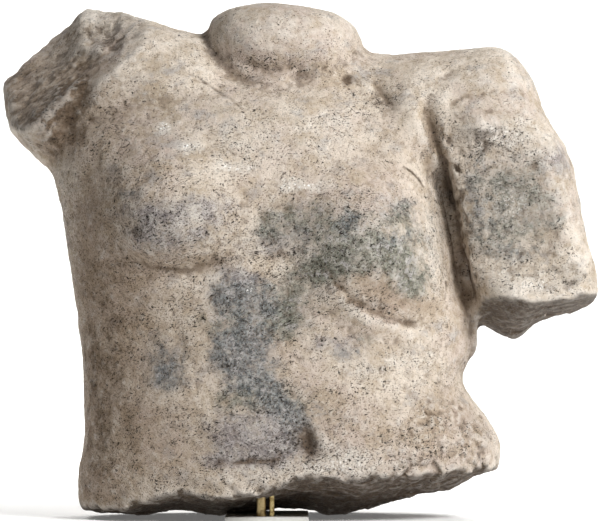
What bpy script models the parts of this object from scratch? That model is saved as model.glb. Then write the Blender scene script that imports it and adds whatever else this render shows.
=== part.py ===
"""A broken marble torso of Aphrodite, about half life size, on the small metal mount that steadies it.

The figure is one carved stone: a trunk with its breasts, the stump of a neck, the raised stump of the
right arm and the upper part of the left arm. It was broken off through the waist, and stands on the
ragged underside of that break, with a thin painted plate let into it and two brass pins up into the stone.

The front faces -Y, +Z is up, and the origin is the centre of the underside. Sizes are in metres. The
figure's own forms are written in shares, hundredths of its height, so that it keeps its proportions.
"""

import math

import bpy
import numpy as np
from mathutils import Vector, noise

# The figure
TORSO_HEIGHT = 0.226
SHARE = TORSO_HEIGHT / 100
CARVING_STEP = 0.0016
STONE_TRIANGLES = 8600
RING_SIDES = 48
RINGS_PER_STATION = 5

# The mount
THICK_PIN_DIAMETER = 0.0040
THIN_PIN_DIAMETER = 0.0022
THICK_PIN_LENGTH = 0.030
THIN_PIN_LENGTH = 0.024
THICK_PIN_X = -0.0167
THIN_PIN_X = -0.0121
PIN_SETBACK = 0.007
PIN_SIDES = 24
PLATE_WIDTH = 0.036
PLATE_DEPTH = 0.060
PLATE_THICKNESS = 0.0020
PLATE_EDGE_BEVEL = 0.0004
PLATE_X = -0.0144
PLATE_Y = -0.008
PIN_Y = PLATE_Y - PLATE_DEPTH / 2 + PIN_SETBACK
FIT_GAP = 0.0003
CUT_PAST = 0.004

# Height, left side, right side, front, back of the trunk, in shares
TRUNK_STATIONS = (
    (-4.0, -41.5, 34.0, -22.0, 23.0),
    (5.0, -43.2, 37.5, -23.0, 23.5),
    (11.0, -42.6, 38.8, -24.0, 23.5),
    (15.0, -42.0, 38.9, -24.3, 23.0),
    (19.5, -41.9, 36.4, -24.3, 22.5),
    (26.0, -41.9, 31.6, -23.8, 21.5),
    (31.0, -42.2, 33.0, -23.3, 21.5),
    (38.0, -43.2, 34.6, -23.0, 22.5),
    (46.0, -44.4, 32.5, -23.0, 23.5),
    (54.0, -45.6, 31.0, -23.0, 24.5),
    (62.0, -47.0, 30.0, -22.5, 25.0),
    (68.0, -48.5, 29.0, -21.5, 24.5),
    (74.0, -47.0, 28.0, -19.0, 23.0),
    (80.0, -40.0, 26.0, -15.5, 20.5),
    (85.0, -28.0, 21.0, -11.0, 17.5),
    (89.0, -17.0, 13.0, -8.0, 14.0),
)
TRUNK_SQUARENESS = 2.2

# Along the shoulders, from the right arm's stump to the left shoulder: x, centre y and z, half depth, half height
SHOULDER_STATIONS = (
    (-64.0, -1.0, 87.0, 12.0, 13.0),
    (-56.0, -1.0, 86.5, 13.5, 14.0),
    (-50.0, 2.5, 85.0, 14.5, 16.5),
    (-44.0, 4.5, 84.2, 14.5, 17.6),
    (-36.0, 3.5, 83.2, 15.0, 16.6),
    (-22.0, 2.0, 80.0, 15.5, 14.6),
    (-4.0, 3.0, 77.5, 14.5, 14.0),
    (14.0, 2.0, 76.8, 14.0, 13.6),
    (28.0, 0.0, 77.5, 14.0, 13.2),
    (38.0, -1.5, 78.0, 13.5, 13.6),
    (43.0, -1.5, 77.5, 11.5, 11.0),
    (46.5, -1.5, 77.0, 7.0, 5.0),
)
SHOULDER_SQUARENESS = 2.2

# Down the left arm: height, left side, right side, front, back
LEFT_ARM_STATIONS = (
    (86.0, 31.0, 43.0, -9.0, 8.0),
    (80.0, 28.0, 46.4, -15.0, 11.0),
    (76.0, 28.0, 48.6, -17.0, 12.0),
    (71.0, 28.5, 51.6, -17.5, 12.0),
    (65.0, 29.5, 53.2, -17.8, 12.0),
    (56.0, 31.0, 54.8, -17.8, 12.0),
    (48.0, 32.6, 57.1, -17.5, 12.0),
    (42.0, 33.8, 57.6, -17.2, 12.0),
    (30.0, 34.6, 56.2, -16.0, 11.0),
)
ARM_SQUARENESS = 3.0

# Up the neck: height, left side, right side, front, back
NECK_STATIONS = (
    (74.0, -17.0, 14.0, -10.0, 16.0),
    (82.0, -16.5, 13.0, -11.5, 15.0),
    (86.0, -16.8, 12.5, -12.2, 14.5),
    (89.5, -17.4, 12.0, -13.6, 14.0),
    (93.0, -18.0, 12.0, -14.2, 13.5),
    (96.5, -17.4, 9.8, -13.0, 12.0),
    (98.7, -14.5, 4.0, -9.5, 9.0),
    (99.9, -9.0, -3.0, -4.0, 4.0),
)
NECK_SQUARENESS = 2.3


# Furrows on the front and back views: x, height, half width and depth at each point
BREASTBONE = ((-4.5, 76.0, 5.5, 0.2), (-5.0, 66.0, 5.5, 0.8), (-5.5, 56.0, 5.0, 1.0), (-4.0, 46.0, 5.0, 0.6))
BELLY_LINE = ((-4.0, 46.0, 5.0, 0.4), (-3.0, 34.0, 5.0, 0.8), (0.0, 22.0, 5.0, 0.8), (2.5, 14.0, 4.0, 0.5))
THROAT = (
    (-18.4, 94.5, 1.2, 1.0), (-17.0, 90.0, 1.8, 2.2), (-13.5, 86.3, 2.4, 2.4),
    (-8.0, 84.6, 2.8, 1.8), (-1.0, 84.4, 3.2, 1.0), (7.0, 84.8, 3.0, 0.2),
)
LEFT_ARMPIT = (
    (24.4, 79.5, 1.0, 0.6), (25.8, 74.0, 1.8, 2.2), (28.0, 64.0, 2.4, 3.8),
    (30.2, 53.0, 2.8, 3.6), (31.8, 44.0, 2.8, 3.2), (33.2, 36.0, 2.4, 2.4),
)
SPINE = ((-3.0, 84.0, 2.6, 0.6), (-3.5, 66.0, 3.2, 2.4), (-4.5, 40.0, 3.4, 2.8), (-5.0, 4.0, 3.6, 2.0))

# Edges of the two broken undersides, as x and height: the front rim, and the low rim behind it
WAIST_FRONT_EDGE = (
    (-45.0, 3.0), (-33.0, 2.8), (-24.5, 5.4), (-14.0, 4.8), (-7.0, 5.6), (0.0, 8.2),
    (5.0, 8.6), (12.0, 7.4), (19.5, 9.1), (27.0, 10.1), (33.0, 10.8), (40.0, 9.8),
)
WAIST_LOW_EDGE = (
    (-45.0, 2.0), (-40.0, 1.0), (-34.0, 0.6), (-29.0, 0.8), (-22.5, 1.5), (-16.5, 0.0), (-10.0, 1.0),
    (-5.0, 1.7), (1.0, 1.5), (5.5, 0.0), (9.5, 0.6), (13.0, 1.5), (19.0, 3.4),
    (24.0, 4.6), (27.6, 4.9), (31.1, 6.0), (34.6, 8.0), (39.0, 9.6),
)
WAIST_SLOPE_DEPTH = 26.0
ARM_FRONT_EDGE = ((33.0, 43.2), (39.0, 42.2), (45.0, 41.0), (51.0, 42.0), (58.0, 43.8))
ARM_LOW_EDGE = (
    (34.0, 37.6), (37.0, 37.0), (40.5, 34.6), (43.0, 34.8), (45.7, 37.6), (48.0, 38.8), (52.0, 39.4), (57.0, 41.4),
)
ARM_SLOPE_DEPTH = 20.0


def clear_scene():
    for old in list(bpy.data.objects):
        bpy.data.objects.remove(old, do_unlink=True)


def material(name, colour, roughness, metallic):
    made = bpy.data.materials.new(name)
    made.use_nodes = True
    shader = made.node_tree.nodes["Principled BSDF"]
    shader.inputs["Base Color"].default_value = (*colour, 1.0)
    shader.inputs["Roughness"].default_value = roughness
    shader.inputs["Metallic"].default_value = metallic
    return made


def object_of(name, points, faces):
    mesh = bpy.data.meshes.new(name)
    mesh.from_pydata([tuple(p) for p in points], [], faces)
    made = bpy.data.objects.new(name, mesh)
    bpy.context.scene.collection.objects.link(made)
    return made


def smooth_stations(stations, per_gap):
    """The stations joined by one smooth curve through them all, with per_gap steps from each to the next."""
    knots = np.array(stations, float)
    rows = []
    for i in range(len(knots) - 1):
        before = knots[max(i - 1, 0)]
        start, end = knots[i], knots[i + 1]
        after = knots[min(i + 2, len(knots) - 1)]
        for k in range(per_gap):
            t = k / per_gap
            rows.append(
                0.5
                * (
                    2 * start
                    + (end - before) * t
                    + (2 * before - 5 * start + 4 * end - after) * t**2
                    + (3 * start - before - 3 * end + after) * t**3
                )
            )
    rows.append(knots[-1])
    return np.array(rows)


def lofted(name, rings):
    """A closed tube through rings of points, with a flat cap at each end."""
    sides = len(rings[0])
    points = [p for ring in rings for p in ring]
    faces = [tuple(reversed(range(sides)))]
    for r in range(len(rings) - 1):
        for s in range(sides):
            low, next_low = r * sides + s, r * sides + (s + 1) % sides
            faces.append((low, next_low, next_low + sides, low + sides))
    last = (len(rings) - 1) * sides
    faces.append(tuple(range(last, last + sides)))
    return object_of(name, points, faces)


def squared_circle(sides, squareness):
    """Points round a unit circle whose sides are pulled out towards a square."""
    angles = np.linspace(0, 2 * math.pi, sides, endpoint=False)
    power = 2 / squareness
    across = np.sign(np.cos(angles)) * np.abs(np.cos(angles)) ** power
    along = np.sign(np.sin(angles)) * np.abs(np.sin(angles)) ** power
    return across, along


def upright_mass(name, stations, squareness):
    """A form whose level sections are given at some heights by their four sides."""
    across, along = squared_circle(RING_SIDES, squareness)
    rings = []
    for height, left, right, front, back in smooth_stations(stations, RINGS_PER_STATION):
        x = (left + right) / 2 + (right - left) / 2 * across
        y = (front + back) / 2 + (back - front) / 2 * along
        rings.append(np.column_stack([x, y, np.full(RING_SIDES, height)]) * SHARE)
    if stations[0][0] > stations[-1][0]:
        rings.reverse()
    return lofted(name, rings)


def level_mass(name, stations, squareness):
    """A form that runs across the body, with upright oval sections."""
    across, along = squared_circle(RING_SIDES, squareness)
    rings = []
    for x, centre_y, centre_z, half_depth, half_height in smooth_stations(stations, RINGS_PER_STATION):
        y = centre_y + half_depth * across
        z = centre_z + half_height * along
        rings.append(np.column_stack([np.full(RING_SIDES, x), y, z]) * SHARE)
    return lofted(name, rings)


def evaluated_mesh(obj):
    bpy.context.view_layer.update()
    graph = bpy.context.evaluated_depsgraph_get()
    return bpy.data.meshes.new_from_object(obj.evaluated_get(graph), depsgraph=graph)


def take_modifiers(obj):
    """Makes what the modifiers show the object's own mesh."""
    obj.data = evaluated_mesh(obj)
    obj.modifiers.clear()


def joined(name, objects):
    points, faces = [], []
    for obj in objects:
        first = len(points)
        points += [v.co[:] for v in obj.data.vertices]
        faces += [tuple(first + v for v in face.vertices) for face in obj.data.polygons]
        bpy.data.objects.remove(obj, do_unlink=True)
    return object_of(name, points, faces)


def grown_together(obj, step, passes):
    """One closed skin round all the masses, its creases softened as worn stone's are."""
    remesh = obj.modifiers.new("one skin", "REMESH")
    remesh.mode = "VOXEL"
    remesh.voxel_size = step
    if passes:
        soften = obj.modifiers.new("worn creases", "SMOOTH")
        soften.factor = 0.5
        soften.iterations = passes
    take_modifiers(obj)


class Carving:
    """The skin of a mass as arrays, in shares, for strokes that push it in or out."""

    def __init__(self, obj):
        self.mesh = obj.data
        count = len(self.mesh.vertices)
        flat = np.empty(count * 3, np.float32)
        self.mesh.vertices.foreach_get("co", flat)
        self.points = flat.reshape(-1, 3).astype(float) / SHARE
        self.mesh.vertex_normals.foreach_get("vector", flat)
        self.normals = flat.reshape(-1, 3).astype(float)

    def swell(self, centre, reach, height, direction=(0, -1, 0)):
        """Pushes a rounded patch out along the direction, or in where the height is below nought."""
        offset = (self.points - np.array(centre)) / np.array(reach)
        fade = np.exp(-(offset**2).sum(axis=1))
        self.points += np.outer(fade * self.facing(direction) * height, direction)

    def groove(self, path, direction=(0, -1, 0)):
        """Presses a rounded furrow along a path of points, each with its x, height, half width and depth."""
        seen = self.points[:, [0, 2]]
        path = np.array(path, float)
        pressed = np.zeros(len(seen))
        for start, end in zip(path[:-1], path[1:]):
            along = end[:2] - start[:2]
            share = np.clip((seen - start[:2]) @ along / (along @ along), 0, 1)
            gap = np.linalg.norm(seen - start[:2] - share[:, None] * along, axis=1)
            width = start[2] + share * (end[2] - start[2])
            depth = start[3] + share * (end[3] - start[3])
            pressed = np.maximum(pressed, np.exp(-((gap / width) ** 2)) * depth)
        self.points -= np.outer(pressed * self.facing(direction), direction)

    def facing(self, direction):
        """1 where the skin faces the direction, fading to 0 where it turns away."""
        return np.clip(self.normals @ np.array(direction, float) * 3, 0, 1)

    def breast(self, centre, across, above, below, lean, height):
        """A mound that rises softly from above and ends in a fold below, leaning by an angle in degrees."""
        seen = self.points[:, [0, 2]] - np.array(centre)
        cos, sin = math.cos(math.radians(lean)), math.sin(math.radians(lean))
        side = (seen[:, 0] * cos + seen[:, 1] * sin) / across
        up = -seen[:, 0] * sin + seen[:, 1] * cos
        up = up / np.where(up > 0, above, below)
        reach = np.clip(1 - side**2 - up**2, 0, 1)
        lowness = np.clip(0.5 - 0.5 * up, 0, 1)
        swelling = reach ** (1.9 - 0.95 * lowness) * height
        self.points += np.outer(swelling * self.facing((0, -1, 0)), (0, -1, 0))

    def broken(self, on_face, normal, roughness, grain, seed, within=None):
        """Takes the stone off down to a rough flat face, where it stands past that face."""
        normal = np.array(normal, float) / np.linalg.norm(normal)
        past = (self.points - np.array(on_face)) @ normal
        for i in np.nonzero(past > -2 * roughness)[0]:
            point = self.points[i]
            if within is not None and not within(point):
                continue
            level = roughness * noise.fractal(Vector(point) / grain + Vector((seed, 0, 0)), 0.9, 2.1, 4)
            if past[i] > level:
                self.points[i] = point - (past[i] - level) * normal

    def broken_below(self, height_at, within):
        """Takes the stone off below the height that height_at gives for each x and y."""
        for i, point in enumerate(self.points):
            if within(point):
                self.points[i, 2] = max(point[2], height_at(point[0], point[1]))

    def put_back(self):
        self.mesh.vertices.foreach_set("co", (self.points * SHARE).astype(np.float32).ravel())
        self.mesh.update()


def ragged(edge, x):
    """The height of a ragged edge at x, from the points where it turns."""
    return float(np.interp(x, [p[0] for p in edge], [p[1] for p in edge]))


def waist_break(x, y):
    front, back = ragged(WAIST_FRONT_EDGE, x), ragged(WAIST_LOW_EDGE, x)
    share = min(max((y + 24) / WAIST_SLOPE_DEPTH, 0), 1)
    chips = noise.fractal(Vector((x, y, 3)) / 6, 0.9, 2.1, 4)
    return back + (front - back) * (1 - share) ** 0.8 + 0.5 * max(chips, 0)


def arm_break(x, y):
    front, back = ragged(ARM_FRONT_EDGE, x), ragged(ARM_LOW_EDGE, x)
    share = min(max((y + 17) / ARM_SLOPE_DEPTH, 0), 1)
    chips = noise.fractal(Vector((x, y, 9)) / 6, 0.9, 2.1, 4)
    return back + (front - back) * (1 - share) + 0.5 * max(chips, 0)


def carve_chest(skin):
    skin.breast((-26.0, 57.5), 17.0, 19.0, 10.5, 18.0, 5.0)
    skin.breast((15.5, 51.0), 16.5, 21.0, 14.5, 28.0, 5.0)
    skin.groove(BREASTBONE)
    skin.swell((20.5, -12.0, 73.0), (5.0, 12.0, 9.0), 2.4)
    skin.swell((15.5, -12.0, 82.0), (4.6, 12.0, 4.4), -1.0)


def carve_furrows(skin):
    for path in (THROAT, BELLY_LINE, LEFT_ARMPIT):
        skin.groove(path)


def carve_back(skin):
    behind = (0, 1, 0)
    skin.groove(SPINE, behind)
    for side in (-1, 1):
        skin.swell((side * 17.0 - 4.0, 25.0, 68.0), (9.0, 20.0, 13.0), 2.2, behind)
        skin.swell((side * 16.0 - 4.5, 22.0, 14.0), (10.0, 20.0, 12.0), 1.2, behind)


def break_edges(skin):
    skin.broken((-46.3, 9.7, 93.9), (-0.53, -0.50, 0.68), 0.9, 9.0, 8, lambda p: p[0] < -30)
    skin.broken((-54.4, 0.0, 73.6), (-0.74, -0.10, -0.67), 0.5, 7.0, 4, lambda p: p[0] < -49 and p[2] > 69)
    skin.broken((-56.6, 0.0, 80.0), (-0.98, -0.15, -0.12), 0.7, 8.0, 5, lambda p: p[0] < -45)
    skin.broken((45.0, -16.2, 60.0), (0.06, -1.0, 0.03), 0.9, 7.0, 7, lambda p: p[0] > 30 and p[2] < 79)
    skin.broken((31.0, -22.0, 9.5), (0.45, -0.8, -0.4), 1.0, 6.0, 11, lambda p: p[2] < 26 and p[0] > 18)
    skin.swell((-42.0, 2.0, 96.5), (3.0, 14.0, 3.6), 2.3, (-0.55, -0.2, 0.8))
    skin.swell((-49.0, 0.0, 91.5), (4.0, 14.0, 3.4), -1.2, (-0.6, -0.3, 0.7))
    skin.broken_below(arm_break, lambda p: p[0] > 34.2 and 24 < p[2] < 45)
    skin.broken_below(waist_break, lambda p: p[2] < 12)


def torso_skin():
    masses = [
        upright_mass("trunk", TRUNK_STATIONS, TRUNK_SQUARENESS),
        level_mass("shoulders", SHOULDER_STATIONS, SHOULDER_SQUARENESS),
        upright_mass("left arm", LEFT_ARM_STATIONS, ARM_SQUARENESS),
        upright_mass("neck", NECK_STATIONS, NECK_SQUARENESS),
    ]
    torso = joined("marble_torso", masses)
    grown_together(torso, CARVING_STEP * 1.25, 12)
    for carve in (carve_chest, carve_furrows, carve_back, break_edges):
        skin = Carving(torso)
        carve(skin)
        skin.put_back()
    grown_together(torso, CARVING_STEP, 2)
    return torso


def box(name, width, depth, bottom, top):
    """A block centred over the origin."""
    points = [
        (x * width / 2, y * depth / 2, z)
        for z in (bottom, top)
        for x, y in ((-1, -1), (1, -1), (1, 1), (-1, 1))
    ]
    faces = [(3, 2, 1, 0), (4, 5, 6, 7), (0, 1, 5, 4), (1, 2, 6, 5), (2, 3, 7, 6), (3, 0, 4, 7)]
    return object_of(name, points, faces)


def rod(name, diameter, bottom, top):
    """An upright round rod over the origin."""
    angles = np.linspace(0, 2 * math.pi, PIN_SIDES, endpoint=False)
    x, y = diameter / 2 * np.cos(angles), diameter / 2 * np.sin(angles)
    rings = [np.column_stack([x, y, np.full(PIN_SIDES, height)]) for height in (bottom, top)]
    return lofted(name, rings)


def cut(obj, cutters):
    """Takes the cutters' shapes out of the object and clears them away."""
    for cutter in cutters:
        taking = obj.modifiers.new("cut", "BOOLEAN")
        taking.operation = "DIFFERENCE"
        taking.solver = "EXACT"
        taking.object = cutter
    take_modifiers(obj)
    for cutter in cutters:
        bpy.data.objects.remove(cutter, do_unlink=True)


def pin_cutter(diameter, x, top):
    cutter = rod("pin hole", diameter + 2 * FIT_GAP, -CUT_PAST, top)
    cutter.location = (x, PIN_Y, 0)
    return cutter


def marble_torso():
    torso = torso_skin()
    thin_out = torso.modifiers.new("fewer faces", "DECIMATE")
    thin_out.ratio = STONE_TRIANGLES / (2 * len(torso.data.polygons))
    take_modifiers(torso)
    seat = box("plate seat", PLATE_WIDTH + 2 * FIT_GAP, PLATE_DEPTH + 2 * FIT_GAP, -CUT_PAST, PLATE_THICKNESS + FIT_GAP)
    seat.location = (PLATE_X, PLATE_Y, 0)
    cut(
        torso,
        [
            seat,
            pin_cutter(THICK_PIN_DIAMETER, THICK_PIN_X, THICK_PIN_LENGTH + FIT_GAP),
            pin_cutter(THIN_PIN_DIAMETER, THIN_PIN_X, THIN_PIN_LENGTH + FIT_GAP),
        ],
    )
    for polygon in torso.data.polygons:
        polygon.use_smooth = True
    return torso


def mount_plate():
    plate = box("mount_plate", PLATE_WIDTH, PLATE_DEPTH, 0.0, PLATE_THICKNESS)
    edges = plate.modifiers.new("broken edges", "BEVEL")
    edges.width = PLATE_EDGE_BEVEL
    edges.segments = 1
    take_modifiers(plate)
    plate.location = (PLATE_X, PLATE_Y, 0)
    top = PLATE_THICKNESS + CUT_PAST
    cut(plate, [pin_cutter(THICK_PIN_DIAMETER, THICK_PIN_X, top), pin_cutter(THIN_PIN_DIAMETER, THIN_PIN_X, top)])
    return plate


def pin(name, diameter, length, x):
    made = rod(name, diameter, 0.0, length)
    made.location = (x, PIN_Y, 0)
    return made


def centre_over_origin(pieces):
    """Moves all the pieces together until the middle of their underside is the origin."""
    bpy.context.view_layer.update()
    corners = np.array([piece.matrix_world @ Vector(corner) for piece in pieces for corner in piece.bound_box])
    middle = (corners.min(axis=0) + corners.max(axis=0)) / 2
    for piece in pieces:
        piece.location -= Vector((middle[0], middle[1], corners[:, 2].min()))


def main():
    clear_scene()
    torso = marble_torso()
    plate = mount_plate()
    thick = pin("thick_pin", THICK_PIN_DIAMETER, THICK_PIN_LENGTH, THICK_PIN_X)
    thin = pin("thin_pin", THIN_PIN_DIAMETER, THIN_PIN_LENGTH, THIN_PIN_X)
    torso.data.materials.append(material("marble", (0.60, 0.53, 0.44), 0.8, 0.0))
    plate.data.materials.append(material("pale_paint", (0.78, 0.77, 0.75), 0.5, 0.0))
    thick.data.materials.append(material("thick_brass", (0.72, 0.52, 0.24), 0.35, 1.0))
    thin.data.materials.append(material("thin_brass", (0.72, 0.52, 0.24), 0.35, 1.0))
    centre_over_origin([torso, plate, thick, thin])


main()
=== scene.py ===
# %% [markdown]
# # A weathered marble torso
# The CAD model gives the torso its main masses: the trunk, the shoulders, the neck's stump, the
# stump of the right arm and the upper part of the left one. In this lesson that plain stone gets
# what two thousand years gave the real one: worn forms, ragged breaks, pits, dirt and stains.
#
# First the model is loaded. Its box is kept, and its lowest point is used later to keep the dressed
# stone from sinking below the plain one.

# %% Load the plain model
import math

import bmesh
import bpy
import numpy as np
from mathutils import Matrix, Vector


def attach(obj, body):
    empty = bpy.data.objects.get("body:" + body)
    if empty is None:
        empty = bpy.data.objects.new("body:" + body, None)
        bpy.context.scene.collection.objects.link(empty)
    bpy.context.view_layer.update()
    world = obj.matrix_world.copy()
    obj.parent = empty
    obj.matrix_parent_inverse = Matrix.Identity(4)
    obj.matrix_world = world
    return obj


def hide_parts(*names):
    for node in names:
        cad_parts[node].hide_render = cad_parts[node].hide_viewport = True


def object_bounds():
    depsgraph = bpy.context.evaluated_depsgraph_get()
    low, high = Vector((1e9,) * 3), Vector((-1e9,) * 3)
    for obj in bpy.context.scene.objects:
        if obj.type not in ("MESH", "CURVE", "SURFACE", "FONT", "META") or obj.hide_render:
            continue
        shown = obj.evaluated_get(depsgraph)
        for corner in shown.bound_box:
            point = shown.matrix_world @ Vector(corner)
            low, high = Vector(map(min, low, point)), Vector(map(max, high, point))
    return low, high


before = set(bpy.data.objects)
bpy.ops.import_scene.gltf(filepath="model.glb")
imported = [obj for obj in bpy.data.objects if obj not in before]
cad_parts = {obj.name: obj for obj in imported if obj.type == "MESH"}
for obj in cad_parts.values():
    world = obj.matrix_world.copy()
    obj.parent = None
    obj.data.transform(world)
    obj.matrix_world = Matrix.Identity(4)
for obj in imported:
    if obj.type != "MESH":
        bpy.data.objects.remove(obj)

cad_box = [list(corner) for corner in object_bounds()]
print("plain model", [round(high - low, 4) for low, high in zip(*cad_box)])

# %% [markdown]
# ## The camera
# The photograph looks at the torso from straight in front, a little below its middle, because we
# see a strip of the broken underside. One photographed pixel is 0.44 mm at the stone, so the
# lens follows from the distance. The camera comes first: the carving below is placed from
# the photograph, and for that we need to know where each point of the stone appears in it.

# %% The camera, set as the photographer's
PHOTO_WIDTH, PHOTO_HEIGHT = 600, 521
METRES_PER_PIXEL = 0.00044
DISTANCE = 1.5
AIM = Vector((0.00213, 0.0, 0.1129))
EYE = AIM + Vector((0.0, -DISTANCE, -0.04))

camera_data = bpy.data.cameras.new("camera")
camera_data.sensor_width = 36.0
camera_data.lens = camera_data.sensor_width * DISTANCE / (PHOTO_WIDTH * METRES_PER_PIXEL)
camera = bpy.data.objects.new("camera", camera_data)
bpy.context.scene.collection.objects.link(camera)
camera.location = EYE
camera.rotation_euler = (AIM - EYE).to_track_quat("-Z", "Y").to_euler()
bpy.context.scene.camera = camera


def seen_at(points):
    """Where points of the stone appear in the photograph: pixels across, and pixels down."""
    ahead = np.array((AIM - EYE).normalized())
    right = np.array((1.0, 0.0, 0.0))
    up = np.cross(right, ahead)
    away = points - np.array(EYE)
    scale = camera_data.lens / camera_data.sensor_width * PHOTO_WIDTH / (away @ ahead)
    across = PHOTO_WIDTH / 2 + (away @ right) * scale
    down = PHOTO_HEIGHT / 2 - (away @ up) * scale
    return np.column_stack([across, down])


print("lens", round(camera_data.lens, 1), "mm")

# %% [markdown]
# ## A finer stone
# The plain model has under nine thousand faces, enough for the masses and too few for chips. We
# copy it, merge its loose corners, and let a voxel Remesh wrap it in even faces under a
# millimetre wide. Some smoothing takes away the flat facets that Remesh copied.

# %% Copy the stone and remesh it
FACE_WIDTH = 0.0008
WELD_WITHIN = 0.00001


def only(obj):
    """Leaves obj as the only selected and active object, because operators act on all that are."""
    bpy.ops.object.select_all(action="DESELECT")
    bpy.context.view_layer.objects.active = obj
    obj.select_set(True)


def apply_modifiers(obj):
    only(obj)
    for modifier in list(obj.modifiers):
        bpy.ops.object.modifier_apply(modifier=modifier.name)


def fresh_copy(node, name):
    """An unparented copy of a CAD piece with its loose triangles merged."""
    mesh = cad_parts[node].data.copy()
    mesh.name = name
    mesh.materials.clear()
    copy = bpy.data.objects.new(name, mesh)
    bpy.context.scene.collection.objects.link(copy)
    only(copy)
    bpy.ops.object.mode_set(mode="EDIT")
    bpy.ops.mesh.select_all(action="SELECT")
    bpy.ops.mesh.remove_doubles(threshold=WELD_WITHIN)
    bpy.ops.object.mode_set(mode="OBJECT")
    return copy


stone = fresh_copy("marble_torso", "worn_marble")
even = stone.modifiers.new("even faces", "REMESH")
even.mode = "VOXEL"
even.voxel_size = FACE_WIDTH
soften = stone.modifiers.new("no facets", "SMOOTH")
soften.factor = 0.5
soften.iterations = 14
apply_modifiers(stone)
print("stone", len(stone.data.polygons), "faces")

# %% [markdown]
# ## Carving the strokes one by one
# A sculptor's strokes are simple: a groove along a line, a dent or a swelling round a place, and
# a face where stone broke away. Each is written here as a small function that moves the points of
# the mesh. A stroke is placed in the photograph's pixels. Two masks keep it off the back: front
# is for strokes on what the camera sees, and not_back also takes in the sides.

# %% The carver's tools
class Carver:
    """The stone's points and normals as arrays, with the strokes that move them."""

    def __init__(self, obj):
        self.mesh = obj.data
        self.count = len(self.mesh.vertices)
        self.points = self.read("vertices", "co")
        self.look_again()

    def read(self, what, key):
        flat = np.empty(self.count * 3, np.float32)
        getattr(self.mesh, what).foreach_get(key, flat)
        return flat.reshape(-1, 3).astype(float)

    def look_again(self):
        """Writes the points to the mesh, and takes its new normals and new places in the photograph."""
        self.mesh.vertices.foreach_set("co", self.points.astype(np.float32).ravel())
        self.mesh.update()
        self.normals = self.read("vertex_normals", "vector")
        self.seen = seen_at(self.points)
        self.front = np.clip(-self.normals[:, 1] * 2.5, 0, 1)
        self.not_back = np.clip((0.5 - self.normals[:, 1]) / 0.4, 0, 1)

    def along(self, path, reach):
        """Two shares: 1 on a line through pixels and fading off it, and how far along it we are."""
        path = np.array(path, float)
        lengths = np.linalg.norm(np.diff(path, axis=0), axis=1)
        best = np.full(self.count, 1e9)
        place = np.zeros(self.count)
        done = 0.0
        for start, end, length in zip(path[:-1], path[1:], lengths):
            step = (end - start) / length
            share = np.clip((self.seen - start) @ step, 0, length)
            gap = np.linalg.norm(self.seen - start - share[:, None] * step, axis=1)
            nearer = gap < best
            best = np.where(nearer, gap, best)
            place = np.where(nearer, (done + share) / lengths.sum(), place)
            done += length
        return np.exp(-((best / reach) ** 2)), place

    def patch(self, middle, across, tall, turn=0.0):
        """1 at a pixel, fading over an oval turned by some degrees."""
        offset = self.seen - np.array(middle, float)
        cos, sin = math.cos(math.radians(turn)), math.sin(math.radians(turn))
        u = (offset[:, 0] * cos + offset[:, 1] * sin) / across
        v = (-offset[:, 0] * sin + offset[:, 1] * cos) / tall
        return np.exp(-(u**2 + v**2))

    def area(self, corners, fade):
        """1 inside an outline of pixels, fading to 0 as far outside it as the fade."""
        corners = np.array(corners, float)
        inside = np.zeros(self.count, bool)
        gap = np.full(self.count, 1e9)
        for (x0, y0), (x1, y1) in zip(corners, np.roll(corners, -1, axis=0)):
            if y0 != y1:
                crossing = (self.seen[:, 1] > min(y0, y1)) & (self.seen[:, 1] <= max(y0, y1))
                edge = x0 + (self.seen[:, 1] - y0) * (x1 - x0) / (y1 - y0)
                inside ^= crossing & (self.seen[:, 0] < edge)
            step = np.array((x1 - x0, y1 - y0))
            share = np.clip(((self.seen - (x0, y0)) @ step) / (step @ step), 0, 1)
            gap = np.minimum(gap, np.linalg.norm(self.seen - (x0, y0) - share[:, None] * step, axis=1))
        return np.where(inside, 1.0, np.clip(1 - gap / fade, 0, 1))

    def groove(self, path, half_width, depth):
        """Sinks a line that grows shallow at both its ends."""
        near, place = self.along(path, half_width)
        near = near * np.clip(4 * np.minimum(place, 1 - place) + 0.15, 0, 1)
        self.points[:, 1] += near * self.front * depth

    def dent(self, middle, across, tall, depth, turn=0.0):
        self.points[:, 1] += self.patch(middle, across, tall, turn) * self.front * depth

    def flatten(self, near, share):
        """Moves the points of an area part of the way to the one plane that fits them best."""
        chosen = near > 0.9
        sides = np.column_stack([self.points[:, 0], self.points[:, 2], np.ones(self.count)])
        plane = np.linalg.lstsq(sides[chosen], self.points[chosen, 1], rcond=None)[0]
        self.points[:, 1] += (sides @ plane - self.points[:, 1]) * near * share

    def push(self, middle, across, tall, way):
        """Moves a patch by a vector, on the front or on the outline."""
        near = self.patch(middle, across, tall) * self.not_back
        self.points += np.outer(near, way)


carver = Carver(stone)
print("carving", carver.count, "points")

# %% [markdown]
# ## Folds and furrows
# The deepest line is the furrow between the body and the left arm. Then come the folds under the
# breasts, the edge of the neck's stump, the ridge that runs down from it, and a few hollows.
# Widths are in pixels and depths in metres. A groove or a dent with a depth below nought is a
# ridge or a swelling.

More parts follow.
